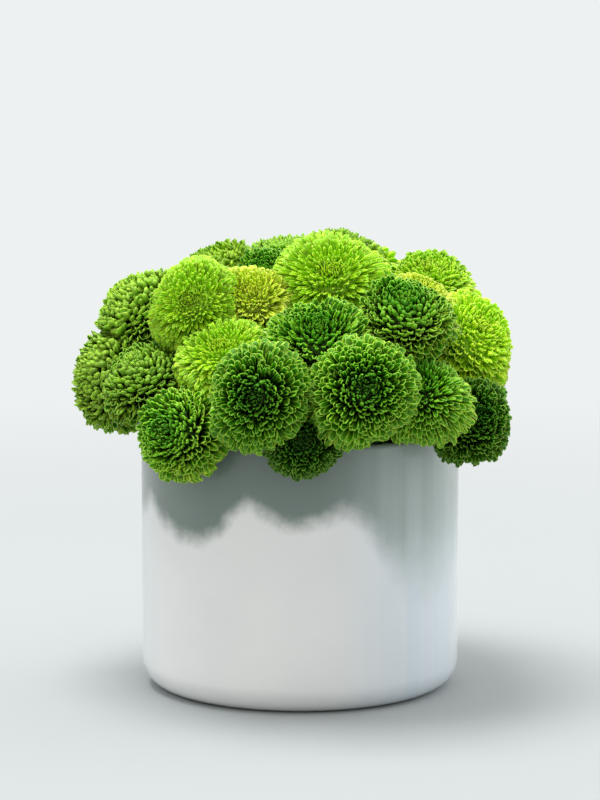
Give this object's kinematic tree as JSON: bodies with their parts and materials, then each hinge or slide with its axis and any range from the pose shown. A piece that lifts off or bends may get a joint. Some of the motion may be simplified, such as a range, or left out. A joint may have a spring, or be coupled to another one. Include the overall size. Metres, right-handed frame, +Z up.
{
  "type": "pompon chrysanthemum",
  "caption": "Dome of green pompon chrysanthemums, stems standing in floral foam in a low round glazed ceramic vase with a grey band over white",
  "frame": {"origin": "middle of the vase's foot, on the surface it stands on", "axes": "+Z up along the vase's axis, -Y towards the viewer of the picture, +X to the right"},
  "size_m": [0.1791, 0.1885, 0.1872],
  "materials": {
    "glaze": "satin glaze, grey band fading into white",
    "foam": "open-cell floral foam, soaked",
    "green_florets": "fresh florets, deep green",
    "lime_florets": "fresh florets, yellow-green",
    "yellowing_florets": "older florets, turning yellow",
    "stem": "fresh green stem"
  },
  "bodies": {
    "root": {"vase": "glaze", "floral_foam": "foam", "bloom_front_left_drooping": "green_florets", "bloom_left_low": "green_florets", "bloom_far_left": "green_florets", "bloom_left_shoulder": "green_florets", "bloom_left_crest": "lime_florets", "bloom_back_left_crest": "lime_florets", "bloom_top_left": "green_florets", "bloom_top": "lime_florets", "bloom_top_yellowing": "yellowing_florets", "bloom_centre": "green_florets", "bloom_front_left": "green_florets", "bloom_left_middle": "lime_florets", "bloom_front_right": "green_florets", "bloom_right_shoulder": "green_florets", "bloom_right_small": "green_florets", "bloom_right": "lime_florets", "bloom_right_low": "green_florets", "bloom_right_crest": "lime_florets", "bloom_right_yellowing": "yellowing_florets", "bloom_front_low": "green_florets", "bloom_back_right_low": "green_florets", "bloom_back_low_1": "green_florets", "bloom_back_low_2": "lime_florets", "bloom_back_low_3": "green_florets", "bloom_back_low_4": "green_florets", "bloom_back_left_low": "green_florets", "bloom_back_right": "green_florets", "bloom_back_middle": "green_florets", "bloom_back_left": "lime_florets", "bloom_back_left_shoulder": "green_florets", "bloom_back_upper_right": "lime_florets", "bloom_back_upper_left": "green_florets", "bloom_back_crest": "lime_florets", "stem_front_left_drooping": "stem", "stem_left_low": "stem", "stem_far_left": "stem", "stem_left_shoulder": "stem", "stem_left_crest": "stem", "stem_top": "stem", "stem_front_left": "stem", "stem_left_middle": "stem", "stem_front_right": "stem", "stem_right_shoulder": "stem", "stem_right_small": "stem", "stem_right": "stem", "stem_right_low": "stem", "stem_right_crest": "stem", "stem_front_low": "stem", "stem_back_right_low": "stem", "stem_back_low_1": "stem", "stem_back_low_2": "stem", "stem_back_low_3": "stem", "stem_back_low_4": "stem", "stem_back_left_low": "stem", "stem_back_right": "stem", "stem_back_left_shoulder": "stem", "stem_back_upper_right": "stem", "stem_back_upper_left": "stem"}
  },
  "joints": []
}
